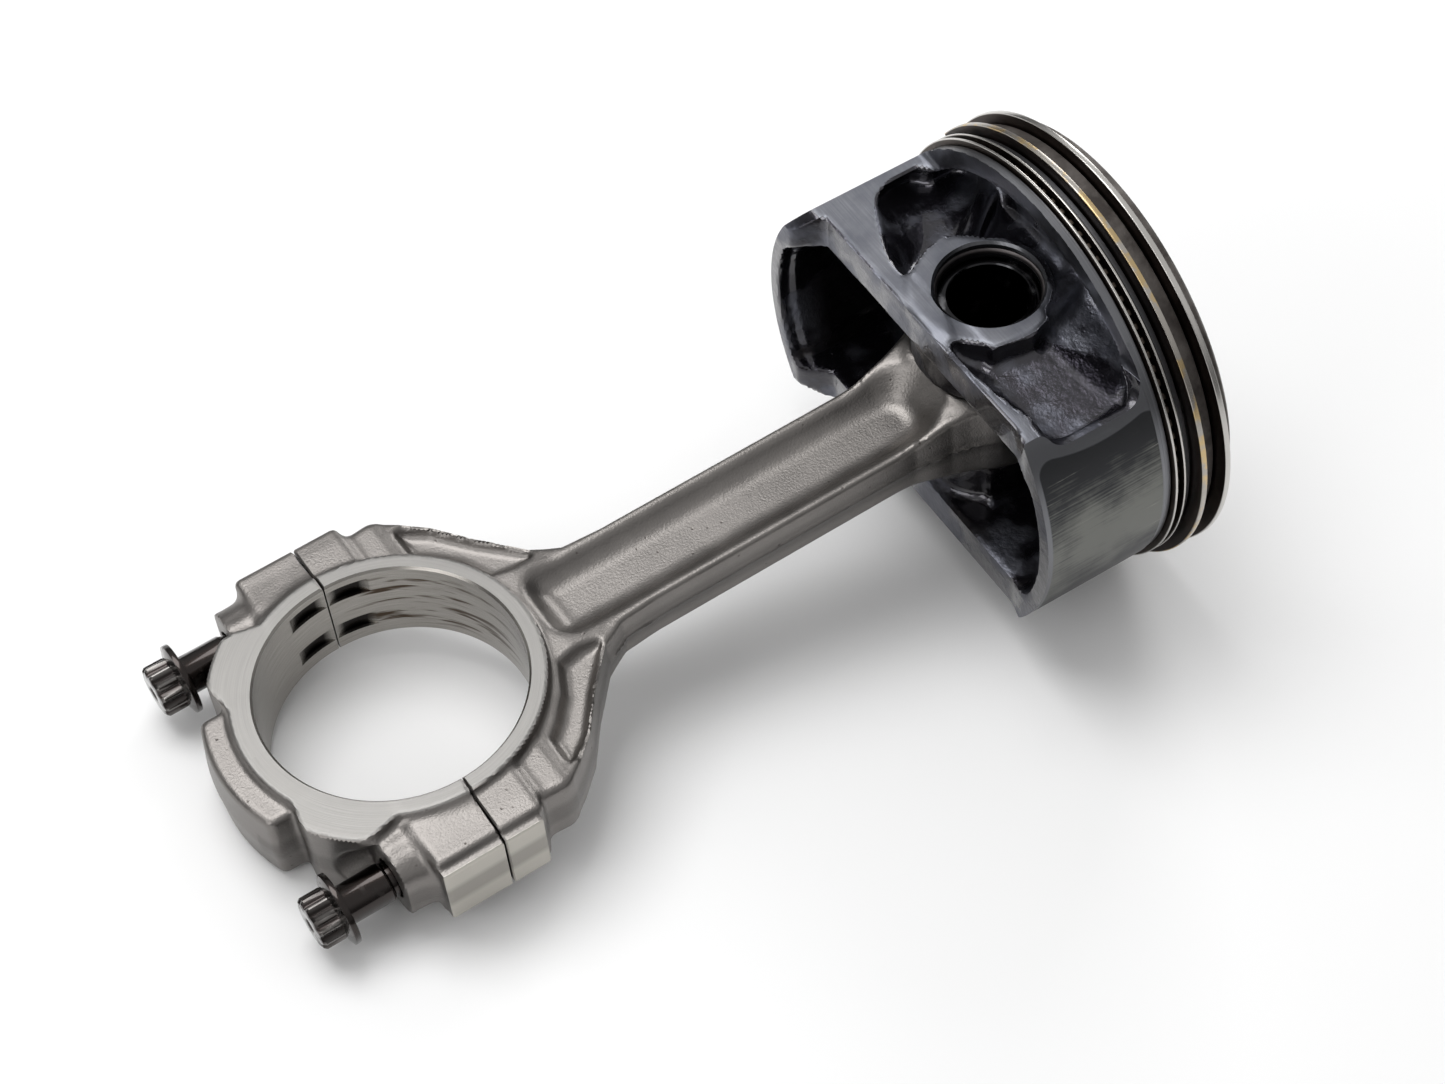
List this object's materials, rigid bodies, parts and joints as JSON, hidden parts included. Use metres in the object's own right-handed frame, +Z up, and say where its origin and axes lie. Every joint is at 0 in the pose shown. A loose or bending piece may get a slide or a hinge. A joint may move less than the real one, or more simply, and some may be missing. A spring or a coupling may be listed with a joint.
{
  "type": "engine piston with connecting rod",
  "caption": "Ringed slipper piston on its wrist pin and forged I-beam connecting rod, with a split big-end cap and part-unscrewed flanged bolts.",
  "frame": {"origin": "on the flat surface the part lies on, under the middle of its bounding box", "axes": "+X from the big end to the piston crown, +Y across the rod towards the piston's long skirt, +Z up; the rod's own centre line rises 11.5 degrees from big end to wrist pin, because the piston is the taller end"},
  "size_m": [0.2086, 0.0966, 0.0961],
  "materials": {
    "forged_steel": "satin forged and shot-peened steel with machined faces",
    "cast_aluminium": "dark oiled cast aluminium with machined edges and a worn skirt coating",
    "oiled_black_steel": "black-oxide steel, wet with oil",
    "ground_steel": "ground and oiled steel",
    "chrome_ring_steel": "bright ring steel with a polished running face",
    "worn_ring_steel": "ring steel with a worn straw-coloured running face",
    "bush_bronze": "bored bronze"
  },
  "bodies": {
    "rod": {"connecting_rod": "forged_steel", "small_end_bush": "bush_bronze"},
    "cap": {"rod_cap": "forged_steel"},
    "bolt_left": {"rod_bolt_left": "oiled_black_steel"},
    "bolt_right": {"rod_bolt_right": "oiled_black_steel"},
    "piston": {"piston": "cast_aluminium", "circlip_upper": "oiled_black_steel", "circlip_lower": "oiled_black_steel"},
    "pin": {"wrist_pin": "ground_steel"},
    "top_ring": {"top_compression_ring": "chrome_ring_steel"},
    "second_ring": {"second_compression_ring": "worn_ring_steel"},
    "lower_rail": {"oil_ring_lower_rail": "chrome_ring_steel"},
    "expander": {"oil_ring_expander": "chrome_ring_steel"},
    "upper_rail": {"oil_ring_upper_rail": "chrome_ring_steel"}
  },
  "joints": [
    {"name": "piston_swing", "type": "hinge", "parent": "rod", "child": "piston", "pos_m": [0.06932, 0.0016, 0.04371], "axis": [-0.1998, 0, 0.9798], "range_deg": [-42, 42]},
    {"name": "pin_spin", "type": "hinge", "parent": "piston", "child": "pin", "pos_m": [0.06932, 0.0016, 0.04371], "axis": [-0.1998, 0, 0.9798], "continuous": true},
    {"name": "top_ring_turn", "type": "hinge", "parent": "piston", "child": "top_ring", "pos_m": [0.09121, -0.00009, 0.04879], "axis": [0.9795, -0.0262, 0.1998], "continuous": true},
    {"name": "second_ring_turn", "type": "hinge", "parent": "piston", "child": "second_ring", "pos_m": [0.08573, 0.00006, 0.04767], "axis": [0.9795, -0.0262, 0.1998], "continuous": true},
    {"name": "lower_rail_turn", "type": "hinge", "parent": "piston", "child": "lower_rail", "pos_m": [0.08108, 0.00129, 0.04611], "axis": [0.9795, -0.0262, 0.1998], "continuous": true},
    {"name": "expander_turn", "type": "hinge", "parent": "piston", "child": "expander", "pos_m": [0.08196, 0.00127, 0.04628], "axis": [0.9795, -0.0262, 0.1998], "continuous": true},
    {"name": "upper_rail_turn", "type": "hinge", "parent": "piston", "child": "upper_rail", "pos_m": [0.08304, 0.00124, 0.0465], "axis": [0.9795, -0.0262, 0.1998], "continuous": true},
    {"name": "cap_slide", "type": "slide", "parent": "rod", "child": "cap", "axis": [-0.9798, 0, -0.1998], "range_m": [0, 0.0095]},
    {"name": "left_bolt_travel", "type": "slide", "parent": "rod", "child": "bolt_left", "axis": [-0.9798, 0, -0.1998], "range_m": [-0.01, 0.004]},
    {"name": "right_bolt_travel", "type": "slide", "parent": "rod", "child": "bolt_right", "axis": [-0.9798, 0, -0.1998], "range_m": [-0.01, 0.004]}
  ]
}
